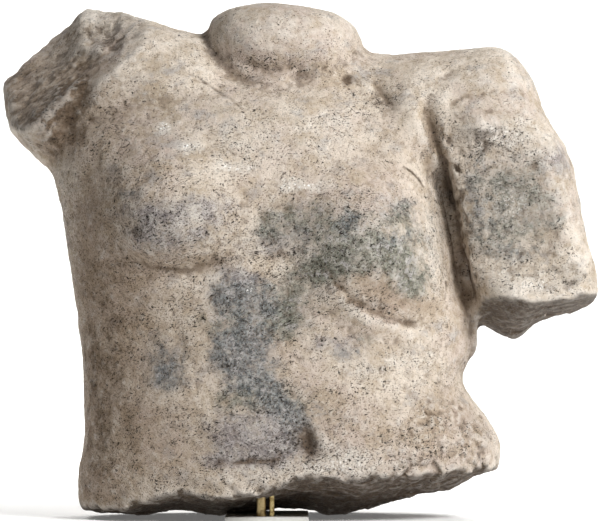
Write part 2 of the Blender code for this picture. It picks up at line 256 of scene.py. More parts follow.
# %% The furrow and the folds
ARM_FURROW = ((428, 118), (436, 150), (446, 195), (457, 245), (466, 288), (474, 322))
ARM_INNER_EDGE = ((443, 130), (454, 162), (459, 200), (466, 242), (473, 290))
CHEST_SLOPE = ((430, 158), (436, 192), (443, 232), (450, 272), (456, 306))
UPPER_FURROW = ((423, 104), (428, 122), (435, 142), (443, 164), (450, 188), (454, 206))
CHEST_EDGE = ((422, 168), (431, 205), (438, 250), (441, 285), (438, 315))
LEFT_FOLD = ((322, 266), (338, 284), (353, 300), (372, 312), (398, 321), (430, 329))
ABOVE_LEFT_FOLD = ((322, 258), (346, 278), (372, 292), (402, 304), (430, 314))
BELOW_LEFT_FOLD = ((336, 296), (354, 314), (376, 324), (402, 332), (430, 338))
RIGHT_FOLD = ((108, 228), (124, 252), (150, 267), (190, 271), (222, 260), (240, 243))
RIGHT_BREAST, LEFT_BREAST = (174, 222), (376, 232)

carver.groove(ARM_FURROW, 9.0, -0.0070)
carver.groove(ARM_INNER_EDGE, 4.0, -0.0022)
carver.groove(CHEST_SLOPE, 8.0, 0.0016)
carver.groove(UPPER_FURROW, 6.5, 0.0050)
carver.groove(CHEST_EDGE, 5.0, -0.0007)
carver.groove(ABOVE_LEFT_FOLD, 15.0, 0.0012)
carver.groove(LEFT_FOLD, 6.0, 0.0010)
carver.groove(LEFT_FOLD, 2.4, 0.0006)
carver.groove(BELOW_LEFT_FOLD, 8.0, -0.0012)
carver.dent(RIGHT_BREAST, 46, 32, -0.0022, -10)
carver.groove(RIGHT_FOLD, 10.0, 0.0017)
carver.groove(RIGHT_FOLD[1:], 2.6, 0.0006)
carver.dent(LEFT_BREAST, 44, 38, -0.0012, 20)
carver.look_again()

# %% The neck's edge and the ridge beside it
NECK_EDGE = ((210, 28), (215, 42), (224, 56), (240, 70), (262, 79))
NECK_FOOT = ((226, 60), (246, 74), (272, 80), (300, 80))
NECK_RIGHT = ((306, 80), (330, 79), (350, 70), (362, 56))
SHOULDER_RIDGE = ((352, 60), (362, 78), (374, 96))
SHOULDER_GROOVE = ((456, 68), (442, 82), (431, 98), (424, 114))
RIDGE_SHADOW = ((372, 80), (384, 96), (398, 112))
RIDGE_HOLLOW = (383, 98)

carver.groove(NECK_FOOT, 10.0, -0.0028)
carver.groove(NECK_RIGHT, 9.0, -0.0016)
carver.groove(NECK_EDGE, 7.0, -0.0012)
carver.groove(SHOULDER_RIDGE, 6.0, -0.0012)
carver.groove(SHOULDER_GROOVE, 6.0, 0.0010)
carver.groove(RIDGE_SHADOW, 4.0, 0.0008)
carver.dent(RIDGE_HOLLOW, 9, 14, 0.0008, -20)
carver.look_again()

# %% Hollows and chips in the skin
SKIN_DENTS = {
    "round hollow": ((308, 443), 8, 14, 0.0030, -12),
    "its raised rim": ((320, 440), 8, 14, -0.0008, -12),
    "hole under the neck": ((347, 80), 4, 4, 0.0012),
    "chip in the neck's edge": ((302, 74), 6, 4, 0.0006),
    "cut near the lower edge": ((250, 462), 26, 3.5, 0.0007, -6),
    "swelling under the cut": ((210, 478), 30, 8, -0.0007, 6),
}

for dent in SKIN_DENTS.values():
    carver.dent(*dent)
carver.look_again()
print("carved", ", ".join(SKIN_DENTS))

# %% The left arm: a flat broken face, and worn lines over its top
ARM_FACE = (
    (438, 124), (470, 118), (520, 116), (550, 122), (575, 160), (590, 240), (604, 280), (604, 306),
    (560, 308), (530, 314), (500, 306), (480, 300), (468, 250), (452, 170),
)
ARM_PLANE = (
    (446, 150), (500, 152), (540, 162), (556, 220), (566, 258), (520, 264), (474, 270), (462, 222),
)
ARM_TOP_LINES = (
    ((404, 104), (430, 84), (462, 66), (500, 58)),
    ((436, 112), (462, 98), (500, 92), (534, 94)),
    ((452, 122), (480, 112), (520, 114), (548, 124)),
)
ARM_END_CHIPS = ((498, 303), (522, 312), (541, 307), (562, 309), (583, 299), (590, 286))
ARM_NICKS = ((449, 140), (456, 168), (459, 196), (462, 222), (467, 252), (474, 280))
ARM_OUTLINE_PUSHES = (
    ((570, 134), 8, 10, (0.0020, 0.0, 0.0)),
    ((586, 204), 8, 9, (0.0010, 0.0, 0.0)),
    ((560, 104), 8, 7, (-0.0010, 0.0, -0.0006)),
)

faded = carver.area(ARM_PLANE, 34)
faded = faded**2 * (3 - 2 * faded) * carver.area(ARM_FACE, 4) * carver.not_back
carver.flatten(faded, 0.85)
for line in ARM_TOP_LINES:
    carver.groove(line, 4.0, 0.0006)
for middle in ARM_NICKS:
    carver.dent(middle, 4.0, 5.0, 0.0018)
for lump in ARM_OUTLINE_PUSHES:
    carver.push(*lump)
for middle in ARM_END_CHIPS:
    carver.dent(middle, 7.0, 4.5, 0.0015)
carver.look_again()
print("flattened", int((faded > 0.5).sum()), "points of the arm's face")

# %% The right arm's stump: its top corner, the recess under it and the channel down its face
STUMP_RIDGE = ((62, 58), (78, 47), (98, 50), (112, 58))
STUMP_CHANNEL = ((92, 64), (84, 82), (76, 102), (64, 124), (58, 140))
STUMP_CORNER, SHOULDER_DIP = (92, 12), (136, 18)
UPPER_RECESS, INNER_RECESS = (96, 32), (114, 45)
STUMP_BOSS, OUTER_HOLLOW, STUMP_FOOT = (46, 86), (26, 116), (46, 134)

carver.push(STUMP_CORNER, 12, 9, (-0.0014, 0.0, 0.0012))
carver.push(SHOULDER_DIP, 12, 8, (0.0, 0.0, -0.0012))
carver.dent(UPPER_RECESS, 15, 7, 0.0018, -20)
carver.dent(INNER_RECESS, 10, 7, 0.0016, 20)
carver.groove(STUMP_RIDGE, 6.0, -0.0020)
carver.groove(STUMP_CHANNEL, 10.0, 0.0036)
carver.dent(STUMP_BOSS, 16, 18, -0.0014, 20)
carver.dent(OUTER_HOLLOW, 10, 14, 0.0008)
carver.dent(STUMP_FOOT, 14, 8, -0.0010, 30)
carver.look_again()
heights = carver.points[:, 2]
print("lowest and highest point", heights.min().round(4), heights.max().round(4))

# %% [markdown]
# ## Where the stone broke
# Worn marble is smooth, and broken marble is a mass of small flat facets, because it splits along
# its crystals. So each point near a break finds the nearest of many scattered centres and is
# pushed to that centre's own tilted plane. Big facets and then small ones make a convincing break.

# %% The tool that splits the stone into facets
SCATTERED = 4096
SCATTER = np.random.default_rng(7).random((SCATTERED, 6))


def facets(points, size, tilt, seed):
    """How far each point stands above or below its facet's centre, on planes of random tilt.

    Space is cut into cells with a centre in each. Three large primes pick a cell's centre and tilt
    out of the scatter, so that neighbours are unlike and every run gives the same stone.
    """
    cell = np.floor(points / size).astype(np.int64)
    nearest = np.full(len(points), 1e9)
    height = np.zeros(len(points))
    for step in np.ndindex(3, 3, 3):
        near = cell + np.array(step) - 1
        mixed = near[:, 0] * 73856093 ^ near[:, 1] * 19349663 ^ near[:, 2] * 83492791
        row = (mixed ^ seed) % SCATTERED
        offset = points - (near + SCATTER[row, :3]) * size
        gap = np.linalg.norm(offset, axis=1)
        closer = gap < nearest
        nearest = np.where(closer, gap, nearest)
        slope = (SCATTER[row, 3:] - 0.5) * 2 * tilt
        height = np.where(closer, (offset * slope).sum(axis=1), height)
    return height


# %% Mark the breaks and split them
STUMP_FACE = (
    (84, 0), (112, 12), (124, 22), (126, 44), (110, 54), (92, 66), (86, 88), (74, 108), (60, 128),
    (40, 146), (20, 156), (-10, 150), (-10, 60), (30, 30),
)
LOW_CHIPS = ((220, 474), (262, 452), (330, 440), (400, 440), (400, 478), (300, 484), (222, 494))
HIP_CHIP = ((402, 424), (430, 404), (470, 408), (510, 430), (510, 478), (460, 484), (404, 494))
FOLD_CHIP = ((330, 280), (352, 276), (392, 306), (402, 322), (376, 320), (346, 302))
STUMP_TOP = (106, 34)
WAIST_BELOW, ARM_BEYOND, ARM_ABOVE = 0.036, 0.076, 0.060
STUMP_FADES_AT, ARM_FACE_ENDS_AT, ARM_END_FROM = 134, 290, 298
BIG_FACETS = {"size": 0.012, "tilt": 0.17, "seed": 5}
SMALL_FACETS = {"size": 0.0045, "tilt": 0.24, "seed": 9}

down_the_photo = carver.seen[:, 1]
downward = np.clip((-carver.normals[:, 2] - 0.2) * 4, 0, 1)
waist = downward * (carver.points[:, 2] < WAIST_BELOW)
arm_end = downward * (carver.points[:, 0] > ARM_BEYOND) * (carver.points[:, 2] > ARM_ABOVE)
arm_end = arm_end * np.clip((down_the_photo - ARM_END_FROM) / 10, 0, 1)
stump = carver.area(STUMP_FACE, 16) * carver.not_back
stump = stump * np.clip((STUMP_FADES_AT - down_the_photo) / 24, 0.3, 1)
stump_top = carver.patch(STUMP_TOP, 28, 26) * carver.not_back
arm_edge = carver.along(ARM_INNER_EDGE, 7)[0] * carver.not_back
arm_front = carver.area(ARM_FACE, 5) * carver.not_back
arm_front = arm_front * np.clip((ARM_FACE_ENDS_AT - down_the_photo) / 20, 0, 1)
hip = carver.area(HIP_CHIP, 10) * carver.front
low_chips = carver.area(LOW_CHIPS, 10) * carver.front
fold = carver.area(FOLD_CHIP, 4) * carver.front

BREAKS = (  # where, and its shares of the big facets and of the small ones
    (arm_edge, 0.45, 0.60),
    (stump, 0.26, 0.40),
    (stump_top, 0.12, 0.20),
    (arm_front, 0.14, 0.35),
    (waist, 0.60, 0.50),
    (arm_end, 0.40, 0.30),
    (hip, 0.60, 0.80),
    (fold, 0.00, 0.20),
    (low_chips, 0.00, 0.30),
)
big = sum(where * share for where, share, _ in BREAKS)
small = sum(where * share for where, _, share in BREAKS)

split = facets(carver.points, **BIG_FACETS) * np.clip(big, 0, 1)
split += facets(carver.points, **SMALL_FACETS) * np.clip(small, 0, 1)
carver.points += carver.normals * split[:, None]
carver.look_again()
print("split points", int((big > 0.3).sum()), "by up to", np.abs(split).max().round(4), "m")


# %% Roughen the whole stone
def displace(obj, name, size, depth, strength):
    """Pushes the points along their normals by a noise of a given size and strength, in metres."""
    texture = bpy.data.textures.new(name, "CLOUDS")
    texture.noise_scale = size
    texture.noise_depth = depth
    push = obj.modifiers.new(name, "DISPLACE")
    push.texture = texture
    push.texture_coords = "LOCAL"
    push.strength = strength
    push.mid_level = 0.5


blunt = stone.modifiers.new("blunt edges", "SMOOTH")
blunt.factor = 0.5
blunt.iterations = 4
displace(stone, "slow waves", 0.020, 1, 0.0012)
displace(stone, "worn dents", 0.0065, 2, 0.0009)
displace(stone, "worn grain", 0.0026, 2, 0.0005)
apply_modifiers(stone)
print("roughened", len(stone.data.vertices), "points")

# %% [markdown]
# ## Fewer faces, kept where they matter
# The piece has to stay under 200,000 triangles. A Decimate modifier joins the faces that bend
# least, until about 184,000 triangles are left. A vertex group tells it to spare the front, where
# the chips are and where people look.
# The group's strength is small, because Decimate weighs it against squared distances in metres.
#
# No point may sink below the lowest point of the plain stone, or the torso would leave its plate.

# %% Thin the faces out
LOWEST = float(cad_box[0][2]) + 0.0003
MOST_TRIANGLES = 184000
SPARING = 0.00002


def weight_group(obj, name, weights):
    """Keeps a share of each point, to a tenth, as a vertex group."""
    group = obj.vertex_groups.new(name=name)
    for level in range(1, 11):
        chosen = np.nonzero(np.round(weights * 10) == level)[0]
        group.add([int(i) for i in chosen], level / 10, "REPLACE")


carver = Carver(stone)
carver.points[:, 2] = np.maximum(carver.points[:, 2], LOWEST)
carver.look_again()
weight_group(stone, "spare", np.clip(0.55 - carver.normals[:, 1] * 0.9, 0, 0.9))
thin_out = stone.modifiers.new("fewer faces", "DECIMATE")
before = 2 * len(stone.data.polygons)
thin_out.ratio = MOST_TRIANGLES / before
thin_out.vertex_group = "spare"
thin_out.invert_vertex_group = True
thin_out.vertex_group_factor = SPARING
apply_modifiers(stone)
triangles = len(stone.data.loops) - 2 * len(stone.data.polygons)
front = sum(len(face.vertices) - 2 for face in stone.data.polygons if face.normal.y < 0)
print("from", before, "triangles to", triangles, "with", front, "in front")

# %% [markdown]
# ## Scratches
# Four thin scratches need finer faces than the rest. The edges along each path are found from
# where they appear in the photograph and cut in half until they are short. Then each scratch is
# a thin groove, and the deepest one also gets a raised lip beside it.

# %% Cut finer faces along the scratches and draw them
SCRATCHES = {
    "long": ((185, 72), (199, 79), (215, 90), (229, 99), (241, 108)),
    "strand": ((190, 79), (199, 82), (208, 85)),
    "gouge": ((404, 167), (411, 172), (418, 179), (424, 187)),
    "line": ((446, 282), (446, 290), (445, 299)),
}

SCRATCH_DEPTHS = {"long": 0.0007, "strand": 0.0007, "gouge": 0.0012, "line": 0.0007}
LONGEST_EDGE = 0.0005


def near_scratches(reach, shares=None):
    """1 on a scratch, fading to 0 at the reach, with a share for each scratch if they differ."""
    shares = shares or {}
    lines = [carver.along(path, reach)[0] * shares.get(name, 1.0) for name, path in SCRATCHES.items()]
    return np.maximum.reduce(lines) * carver.front


for _ in range(4):
    carver = Carver(stone)
    near = near_scratches(6.0) > 0.35
    work = bmesh.new()
    work.from_mesh(stone.data)
    too_long = []
    for edge in work.edges:
        if all(near[corner.index] for corner in edge.verts) and edge.calc_length() > LONGEST_EDGE:
            too_long.append(edge)
    bmesh.ops.subdivide_edges(work, edges=too_long, cuts=1)
    bmesh.ops.triangulate(work, faces=[face for face in work.faces if len(face.verts) > 3])
    work.to_mesh(stone.data)
    work.free()
    print("cut", len(too_long), "edges in half")
carver = Carver(stone)
for name, path in SCRATCHES.items():
    carver.groove(path, 1.5, SCRATCH_DEPTHS[name])
lip = [(x - 2.2, y + 2.2) for x, y in SCRATCHES["gouge"]]
carver.groove(lip, 1.6, -0.0004)
carver.look_again()
print("now", len(stone.data.polygons), "faces")

# %% [markdown]
# ## Where the stone is stained
# The colours come from nodes, but a node can't know where on this stone the stains lie. So each
# stain is dabbed onto the points as soft ovals, and kept in a colour attribute that the material
# will read. A dab is a place in the photograph, a width, a height and a strength. Noise in the
# material breaks up its edges later.

# %% Dab the stains
BLUE_DABS = (
    (228, 286, 16, 10, 0.5), (236, 300, 20, 13, 0.9), (262, 305, 18, 18, 0.6),
    (250, 330, 18, 14, 0.8), (224, 346, 12, 14, 0.8), (246, 352, 22, 15, 1.0),
    (236, 374, 18, 14, 0.8), (258, 376, 16, 16, 0.8), (266, 392, 13, 13, 0.7),
    (286, 410, 13, 9, 1.0), (298, 424, 12, 10, 0.9), (218, 300, 10, 16, 0.5),
    (300, 446, 14, 9, 0.5), (130, 194, 12, 6, 0.5), (347, 354, 24, 6, 0.5), (300, 235, 14, 12, 0.5),
    (345, 225, 16, 16, 0.5), (398, 238, 16, 10, 0.6), (480, 214, 18, 24, 0.45),
    (486, 160, 18, 12, 0.3), (550, 222, 18, 12, 0.25), (166, 380, 13, 13, 0.8),
    (250, 296, 20, 10, 0.5), (168, 350, 24, 18, 0.35), (165, 368, 15, 12, 0.4),
    (520, 250, 26, 10, 0.45),
)
GREEN_DABS = (
    (336, 262, 28, 12, 1.0), (318, 272, 18, 8, 0.9), (350, 240, 26, 12, 0.7),
    (322, 220, 20, 16, 0.6), (380, 252, 22, 12, 0.7), (404, 262, 16, 16, 0.8),
    (412, 282, 14, 12, 1.0), (292, 292, 20, 12, 0.7), (290, 318, 20, 14, 0.8),
    (270, 318, 20, 14, 0.6), (280, 226, 22, 16, 0.6), (255, 388, 14, 12, 0.5),
    (496, 180, 26, 18, 0.35), (534, 214, 24, 18, 0.4), (508, 238, 28, 14, 0.4),
    (366, 340, 12, 6, 0.5), (290, 398, 20, 12, 0.4), (222, 322, 18, 14, 0.5),
    (400, 215, 22, 12, 0.3), (238, 402, 20, 16, 0.4), (300, 222, 46, 24, 0.22),
    (384, 232, 36, 28, 0.35), (240, 335, 30, 50, 0.3), (514, 198, 54, 52, 0.25),
)
LAVENDER_DABS = (
    (160, 212, 34, 10, 0.7), (206, 206, 26, 11, 0.6), (184, 234, 40, 12, 0.6),
    (150, 240, 20, 14, 0.4), (246, 436, 34, 26, 0.8), (282, 446, 26, 20, 0.7),
    (276, 240, 26, 16, 0.6), (230, 460, 26, 6, 0.7), (232, 276, 20, 8, 0.6), (246, 282, 20, 8, 0.5),
    (560, 160, 12, 14, 0.7), (470, 196, 10, 24, 0.35), (515, 188, 40, 36, 0.12),
    (395, 206, 24, 10, 0.5), (340, 345, 30, 10, 0.5), (320, 290, 16, 8, 0.3),
    (500, 165, 40, 20, 0.15),
)


def dabbed(dabs, grow=1.1):
    """How much of each point the dabs cover together, 0 to 1."""
    bare = np.ones(carver.count)
    for x, y, across, tall, strength in dabs:
        bare *= 1 - carver.patch((x, y), across * grow, tall * grow) * strength
    return (1 - bare) * carver.front


def colour_attribute(obj, name, *channels):
    """Keeps up to three values of each point as a colour that a material can read."""
    made = obj.data.color_attributes.new(name=name, type="FLOAT_COLOR", domain="POINT")
    values = np.ones((len(channels[0]), 4), np.float32)
    for column, channel in enumerate(channels):
        values[:, column] = channel
    made.data.foreach_set("color", values.ravel())


stains = [dabbed(dabs, grow=1.22) for dabs in (BLUE_DABS, GREEN_DABS, LAVENDER_DABS)]
colour_attribute(stone, "stains", *stains)
print("stained points", int((dabbed(BLUE_DABS) > 0.3).sum()))

# %% [markdown]
# The pits are thickest on the breasts, between them, and on the broken face of the arm.

# %% Dab where the pits are thick
PITTED_DABS = (
    (165, 225, 50, 36, 0.9), (150, 175, 60, 26, 0.5), (100, 130, 40, 30, 0.7),
    (290, 250, 70, 50, 0.8), (350, 230, 50, 50, 0.8), (240, 300, 60, 50, 0.6),
    (250, 400, 60, 70, 0.6), (370, 400, 80, 60, 0.3), (140, 330, 50, 60, 0.6),
    (480, 150, 36, 24, 0.7), (530, 150, 30, 20, 0.5), (500, 220, 50, 50, 0.45),
    (520, 280, 60, 20, 0.4), (262, 66, 46, 12, 0.9), (380, 96, 26, 14, 0.7),
    (440, 200, 12, 80, 0.9), (330, 110, 60, 30, 0.3), (250, 130, 60, 30, 0.4),
    (440, 440, 50, 30, 0.6), (360, 300, 40, 20, 0.7), (310, 465, 90, 18, 0.5),
    (130, 440, 60, 50, 0.5), (350, 460, 90, 20, 0.5), (180, 480, 90, 20, 0.4),
    (60, 90, 50, 50, 0.5),
)
pitted = dabbed(PITTED_DABS)
print("pitted", int((pitted > 0.5).sum()), "points")

# %% [markdown]
# A thin brown wash paints shade where the stone turns away from the light: on the right side,
# under the breasts and the neck, in the furrow, and over the stump.

# %% Dab the brown wash of painted shade
SHADE_WASH_DABS = (
    (372, 288, 44, 20, 0.8), (340, 276, 24, 12, 0.5), (412, 306, 26, 12, 0.7),
    (256, 70, 46, 11, 0.15), (120, 385, 60, 130, 0.65), (110, 300, 40, 40, 0.55),
    (150, 258, 50, 12, 0.5), (36, 104, 44, 40, 0.9), (56, 142, 30, 16, 0.8), (74, 104, 18, 34, 0.8),
    (78, 78, 30, 30, 0.7), (432, 138, 7, 28, 0.7), (446, 195, 10, 36, 0.9), (457, 250, 11, 36, 0.9),
    (466, 296, 11, 30, 0.9), (118, 195, 26, 34, 0.5), (228, 254, 26, 12, 0.4),
    (90, 460, 40, 50, 0.4), (240, 200, 40, 20, 0.35), (400, 140, 30, 20, 0.25),
    (500, 128, 40, 12, 0.15), (382, 96, 18, 14, 0.4), (450, 420, 50, 30, 0.4),
    (300, 450, 20, 20, 0.4), (90, 380, 26, 130, 0.95), (92, 220, 16, 50, 0.6),
    (150, 400, 50, 80, 0.4), (370, 410, 70, 50, 0.25), (380, 165, 40, 24, 0.3),
    (390, 345, 40, 14, 0.3), (60, 110, 50, 30, 0.8), (240, 340, 30, 60, 0.3),
)
painted_shade_wash = dabbed(SHADE_WASH_DABS)
print("shade_washed", int((painted_shade_wash > 0.5).sum()), "points")

# %% [markdown]
# Dirt and painted shade both go into the hollows and the breaks, and painted shade darkens the
# faces that turn down under the edges. Raised points are painted a little paler. A hollow is found
# by smoothing the points and seeing which of them lie below the smooth form. A few rounds of
# smoothing find the small chips, and many rounds find the folds.

# %% Find the hollows and dab the dirt and the painted shade
# Dabs of dirt and of painted shade: in the folds, the stump's recesses, under the neck, in the furrow,
# the round hollow, and down the shaded flank.
DIRT_AND_SHADE_DABS = (
    (30, 100, 40, 40, 0.35), (78, 100, 14, 30, 0.6), (352, 297, 14, 5, 0.3),
    (374, 309, 16, 4, 0.35), (62, 112, 22, 22, 0.8), (112, 43, 14, 7, 0.5), (94, 32, 12, 6, 0.5),
    (84, 92, 10, 26, 0.5), (228, 60, 16, 12, 0.3), (256, 74, 26, 8, 0.1), (300, 75, 12, 6, 0.25),
    (381, 98, 12, 14, 0.4), (450, 220, 8, 50, 0.2), (364, 304, 26, 5, 0.4), (408, 322, 26, 3, 0.6),
    (340, 288, 14, 5, 0.6), (308, 442, 11, 15, 0.8), (110, 300, 30, 60, 0.15),
    (90, 400, 30, 100, 0.35), (136, 232, 6, 6, 0.5), (432, 92, 8, 22, 0.3), (130, 180, 40, 22, 0.2),
    (250, 462, 30, 4, 0.7), (347, 80, 5, 5, 0.8), (50, 130, 24, 14, 0.8), (130, 262, 30, 6, 0.25),
    (170, 268, 44, 4, 0.2), (450, 420, 40, 26, 0.2), (250, 430, 150, 70, 0.15),
    (540, 140, 30, 14, 0.1),
)
# Painted shade: darker in the furrow, the round hollow, the hole under the neck, the stump's channel
# and under the right breast.
PAINTED_SHADE_DABS = (
    (309, 442, 7, 11, 0.8), (347, 80, 4, 4, 0.4), (66, 110, 16, 22, 0.5), (34, 120, 12, 14, 0.3),
    (432, 146, 6, 30, 0.4), (449, 212, 7, 36, 0.35), (462, 276, 7, 30, 0.4), (136, 230, 4, 5, 0.6),
)
# Pale patches: rubbed stone, and painted highlight on the neck's top, the stump's top corner and the
# lit edge of the chest.
PALE_AND_HIGHLIGHT_DABS = (
    (285, 30, 60, 18, 0.4), (88, 54, 26, 7, 0.5), (164, 128, 10, 8, 1.0), (188, 147, 12, 6, 0.9),
    (232, 168, 24, 5, 0.8), (298, 186, 34, 6, 0.9), (500, 84, 34, 14, 0.5), (512, 205, 50, 50, 0.7),
    (505, 134, 46, 18, 0.7), (98, 16, 18, 9, 0.6), (540, 285, 46, 14, 0.7), (400, 370, 60, 30, 0.4),
    (500, 272, 20, 12, 0.6), (330, 468, 80, 14, 0.6), (440, 200, 8, 26, 0.4), (250, 290, 6, 5, 1.0),
    (395, 205, 20, 8, 0.6), (180, 225, 30, 10, 0.4), (340, 458, 30, 18, 0.5),
    (150, 490, 50, 12, 0.3), (330, 130, 60, 34, 0.35), (230, 130, 50, 30, 0.3),
    (432, 250, 7, 50, 0.5),
)


def smoothed(obj, points, rounds):
    """The points after that many rounds of averaging each with its neighbours."""
    edges = np.empty(len(obj.data.edges) * 2, np.int32)
    obj.data.edges.foreach_get("vertices", edges)
    ends = edges.reshape(-1, 2)
    both = np.concatenate([ends, ends[:, ::-1]])
    count = np.bincount(both[:, 0], minlength=len(points))[:, None]
    for _ in range(rounds):
        beside = points[both[:, 1]]
        total = [np.bincount(both[:, 0], beside[:, axis], len(points)) for axis in range(3)]
        total = np.column_stack(total)
        points = 0.4 * points + 0.6 * total / count
    return points


def hollowness(rounds, full):
    """0 on flat stone, 1 at the full depth below its smoothed surroundings, below 0 when raised."""
    smooth = smoothed(stone, carver.points, rounds)
    return ((smooth - carver.points) * carver.normals).sum(axis=1) / full


# Below this height, and beyond this on the arm, faces that turn down get painted shade.
SHADED_BELOW, SHADED_ARM_BEYOND = 0.034, 0.070
SCRATCH_DIRT = {"long": 0.4, "strand": 0.3, "gouge": 0.8, "line": 0.8}

front_share = np.clip(0.85 - 0.4 * carver.normals[:, 1], 0.45, 1)
# Above a half, hollow is dirt in the small chips and painted shade in the wide folds; below a half it
# paints raised points paler.
hollow = 0.42 * hollowness(5, 0.00030) + 0.22 * hollowness(40, 0.0025)
hollow = np.clip(0.5 + hollow * front_share, 0, 1)
# Faces that turn down under the low rim and the arm's end are painted darker, as shade.
underside = np.clip(-carver.normals[:, 2] * 1.5 - 0.2, 0, 1)
low_break = underside * (carver.points[:, 2] < SHADED_BELOW)
arm_break = underside * (carver.points[:, 0] > SHADED_ARM_BEYOND) * (carver.points[:, 2] > ARM_ABOVE)
scratched = near_scratches(1.6, SCRATCH_DIRT)
dirt_and_shade = np.maximum.reduce([dabbed(DIRT_AND_SHADE_DABS), low_break, arm_break * 0.9, scratched])
# Kept together: the hollows with their dirt and painted shade, dirt with painted shade, and pale
# patches, some of them painted highlight.
colour_attribute(stone, "dirt_shade_and_pale", hollow, dirt_and_shade, dabbed(PALE_AND_HIGHLIGHT_DABS))
# Painted shade under the low rim and the arm's end, and in the dabbed places. The pitted attribute
# carries it with the pits and the brown wash of painted shade.
painted_shade = np.maximum.reduce([low_break * 0.8, arm_break, dabbed(PAINTED_SHADE_DABS)])
colour_attribute(stone, "pitted", pitted, painted_shade, painted_shade_wash)
print("hollow", hollow.mean().round(3), "dirty points", int((dirt_and_shade > 0.5).sum()))

# %% [markdown]
# ## The marble
# The material is built up in layers: cream stone with slow drifts of tan, rose and grey, then
# grains, then a brown wash of painted shade, the stains, dirt mixed with painted shade, and last the
# dark pits and painted shade under the edges. Everything reads Object coordinates, in metres, so a
# noise of scale 1000 has grains of a millimetre.

# %% Helpers for materials
def srgb(red, green, blue):
    """A colour as seen in a paint box, 0 to 255, as the linear colour that nodes mix."""
    linear = []
    for value in (red, green, blue):
        share = value / 255
        linear.append(share / 12.92 if share <= 0.04045 else ((share + 0.055) / 1.055) ** 2.4)
    return (*linear, 1.0)


class Finish:
    """A material and short ways to add nodes to it. A value is a number, a colour or a socket."""

    def __init__(self, name):
        self.material = bpy.data.materials.new(name)
        self.material.use_nodes = True
        self.tree = self.material.node_tree
        self.shader = self.tree.nodes["Principled BSDF"]
        self.place = self.tree.nodes.new("ShaderNodeTexCoord").outputs["Object"]

    def put(self, socket, value):
        if isinstance(value, bpy.types.NodeSocket):
            self.tree.links.new(value, socket)
        else:
            socket.default_value = value

    def node(self, kind, inputs=(), **settings):
        made = self.tree.nodes.new(kind)
        for key, value in settings.items():
            setattr(made, key, value)
        for key, value in dict(inputs).items():
            self.put(made.inputs[key], value)
        return made

    def stretched(self, across, deep, tall):
        inputs = {"Vector": self.place, "Scale": (across, deep, tall)}
        return self.node("ShaderNodeMapping", inputs).outputs["Vector"]

    def slanted(self, degrees, along, across):
        """A place stretched along a slant on the front: sizes are in metres."""
        turn = (0, math.radians(degrees), 0)
        inputs = {"Vector": self.place, "Rotation": turn, "Scale": (along, across, across)}
        return self.node("ShaderNodeMapping", inputs, vector_type="TEXTURE").outputs["Vector"]

    def noise(self, scale, detail=3.0, roughness=0.55, place=None):
        inputs = {"Vector": place or self.place, "Scale": scale, "Detail": detail}
        inputs["Roughness"] = roughness
        return self.node("ShaderNodeTexNoise", inputs).outputs["Fac"]

    def cell_colours(self, scale):
        inputs = {"Vector": self.place, "Scale": scale}
        return self.node("ShaderNodeTexVoronoi", inputs).outputs["Color"]

    def between(self, value, low, high, to_low=0.0, to_high=1.0):
        """A smooth step of a value, from to_low where it is low to to_high where it is high."""
        inputs = {"Value": value, "From Min": low, "From Max": high}
        inputs.update({"To Min": to_low, "To Max": to_high})
        step = self.node("ShaderNodeMapRange", inputs, interpolation_type="SMOOTHSTEP")
        return step.outputs["Result"]

    def sum(self, operation, first, second):
        made = self.node("ShaderNodeMath", operation=operation)
        self.put(made.inputs[0], first)
        self.put(made.inputs[1], second)
        return made.outputs["Value"]

    def mix(self, share, first, second):
        """A share of the second colour over the first. Sockets 0, 6 and 7 are a colour mix's."""
        made = self.node("ShaderNodeMix", data_type="RGBA")
        self.put(made.inputs[0], share)
        self.put(made.inputs[6], first)
        self.put(made.inputs[7], second)
        return made.outputs[2]

    def attribute(self, name):
        """The three values that colour_attribute kept, as three sockets."""
        colour = self.node("ShaderNodeAttribute", attribute_name=name).outputs["Color"]
        return self.node("ShaderNodeSeparateColor", {"Color": colour}).outputs

    def relief(self, height, distance, strength=1.0):
        inputs = {"Height": height, "Distance": distance, "Strength": strength}
        self.put(self.shader.inputs["Normal"], self.node("ShaderNodeBump", inputs).outputs["Normal"])


# %% The clean stone: cream, tan, rose and grey, in drifts and grains
# A noise gathers round a half, so between() picks which part of it shows, and how strongly.
marble = Finish("weathered_marble")
CREAM = srgb(220, 208, 193)
TAN = srgb(182, 165, 143)
ROSE = srgb(196, 180, 167)
GREY = srgb(168, 162, 157)
WHITE = srgb(232, 226, 217)
EARTH = srgb(100, 81, 63)

drift = marble.between(marble.noise(24, 4, 0.6), 0.40, 0.66)
warm = marble.between(marble.noise(62, 4, 0.62), 0.47, 0.66, 0.0, 0.80)
upright = marble.stretched(1.0, 1.0, 1.5)
ashen = marble.between(marble.noise(85, 4, 0.65, upright), 0.52, 0.68, 0.0, 0.75)
mottle = marble.between(marble.noise(200, 4, 0.65), 0.45, 0.65, 0.0, 0.60)
colour = marble.mix(drift, CREAM, ROSE)
colour = marble.mix(warm, colour, TAN)
colour = marble.mix(ashen, colour, GREY)
colour = marble.mix(mottle, colour, TAN)
grain = marble.noise(1500, 2, 0.7)
fine = marble.noise(560, 4, 0.75)
colour = marble.mix(marble.between(fine, 0.54, 0.70, 0.0, 0.40), colour, WHITE)
colour = marble.mix(marble.between(fine, 0.47, 0.30, 0.0, 0.36), colour, EARTH)
colour = marble.mix(marble.between(grain, 0.46, 0.30, 0.0, 0.40), colour, EARTH)
print("clean stone", len(marble.tree.nodes), "nodes")

# %% Slanted rasp marks down the side of the right breast and the belly
RASP_FROM_X, RASP_FULL_X = -0.03, -0.10
RASP_FROM_Z, RASP_FULL_Z = 0.165, 0.13

